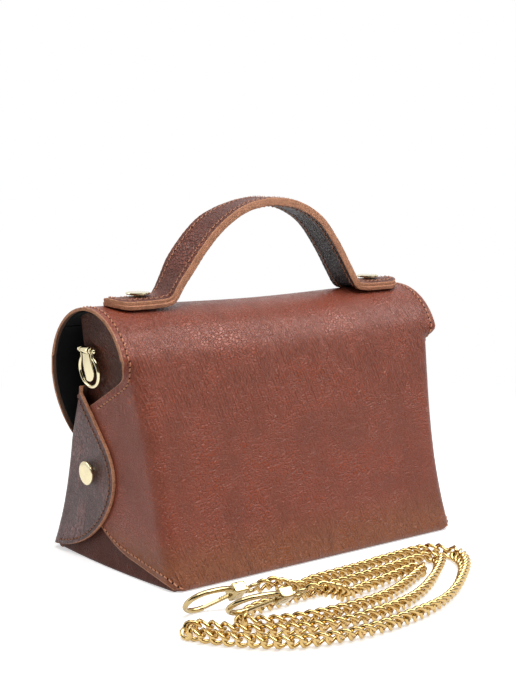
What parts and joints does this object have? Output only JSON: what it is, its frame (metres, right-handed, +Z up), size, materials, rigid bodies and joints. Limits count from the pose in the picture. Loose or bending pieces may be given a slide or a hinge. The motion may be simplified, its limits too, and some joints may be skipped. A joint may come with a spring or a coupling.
{
  "type": "structured leather handbag",
  "caption": "Small structured handbag with a round top, half-moon flap, lapped and studded ends, a stitched leather top handle, side rings and a clip-on curb chain strap.",
  "frame": {"origin": "middle of the bag's flat base, on the surface that it stands on", "axes": "+Z up, X along the bag between its two ends, flap and front towards -Y, plain back panel towards +Y"},
  "size_m": [0.266, 0.2405, 0.2084],
  "materials": {
    "leather": "reddish brown, fine pebble grain, soft sheen",
    "gusset_leather": "dark purple brown, coarse pebble grain",
    "dark_leather": "dark brown, fine grain",
    "lining": "black, matt",
    "gold": "pale gold plate, polished"
  },
  "bodies": {
    "bag": {"back_and_top_panel": "leather", "front_panel": "leather", "base_panel": "leather", "gusset_left": "gusset_leather", "gusset_right": "gusset_leather", "body_lining": "lining", "handle_outer_foot_left": "leather", "handle_inner_foot_left": "dark_leather", "handle_outer_foot_right": "leather", "handle_inner_foot_right": "dark_leather", "handle_stud_left": "gold", "handle_stud_left_cap": "gold", "handle_stud_right": "gold", "handle_stud_right_cap": "gold", "wing_stud_left": "gold", "wing_stud_left_cap": "gold", "wing_stud_right": "gold", "wing_stud_right_cap": "gold", "ring_plate_left": "gold", "ring_pin_left": "gold", "ring_plate_right": "gold", "ring_pin_right": "gold", "snap_cup": "gold"},
    "flap": {"flap": "leather", "flap_lining": "lining", "snap_boss": "gold"},
    "handle": {"handle_outer_strip": "leather", "handle_inner_strip": "dark_leather"},
    "left_ring": {"ring_left": "gold"},
    "right_ring": {"ring_right": "gold"},
    "chain": {"chain": "gold", "clasp_swivel_first": "gold", "clasp_swivel_second": "gold"},
    "first_clasp": {"clasp_hook_first": "gold", "gate_pin_first": "gold"},
    "first_gate": {"clasp_gate_first": "gold"},
    "second_clasp": {"clasp_hook_second": "gold", "gate_pin_second": "gold"},
    "second_gate": {"clasp_gate_second": "gold"}
  },
  "joints": [
    {"name": "flap_open", "type": "hinge", "parent": "bag", "child": "flap", "pos_m": [0, -0.0304, 0.13933], "axis": [-1, 0, 0], "range_deg": [0, 150]},
    {"name": "handle_tilt", "type": "hinge", "parent": "bag", "child": "handle", "pos_m": [0, 0.0011, 0.1668], "axis": [1, 0, 0], "range_deg": [-25, 25], "stiffness_Nm_per_rad": 0.05},
    {"name": "ring_left_swing", "type": "hinge", "parent": "bag", "child": "left_ring", "pos_m": [-0.11285, -0.0138, 0.1248], "axis": [0, 1, 0], "range_deg": [0, 110]},
    {"name": "ring_right_swing", "type": "hinge", "parent": "bag", "child": "right_ring", "pos_m": [0.11285, -0.0138, 0.1248], "axis": [0, -1, 0], "range_deg": [0, 110]},
    {"name": "chain_lift_off", "type": "slide", "parent": "bag", "child": "chain", "axis": [0, 0, 1], "range_m": [0, 0.12]},
    {"name": "first_clasp_swivel", "type": "hinge", "parent": "chain", "child": "first_clasp", "pos_m": [0.0925, 0.101, 0.0098], "axis": [0.9984, -0.0563, -0.0056], "range_deg": [-30, 60]},
    {"name": "first_gate_press", "type": "hinge", "parent": "first_clasp", "child": "first_gate", "pos_m": [0.09878, 0.09895, 0.00801], "axis": [-0.0366, -0.7184, 0.6946], "range_deg": [0, 22], "stiffness_Nm_per_rad": 0.02},
    {"name": "second_clasp_swivel", "type": "hinge", "parent": "chain", "child": "second_clasp", "pos_m": [0.089, 0.1345, 0.015], "axis": [0.9913, -0.1312, -0.0058], "range_deg": [-60, 0]},
    {"name": "second_gate_press", "type": "hinge", "parent": "second_clasp", "child": "second_gate", "pos_m": [0.09509, 0.13181, 0.0134], "axis": [-0.0799, -0.6378, 0.766], "range_deg": [0, 22], "stiffness_Nm_per_rad": 0.02}
  ]
}
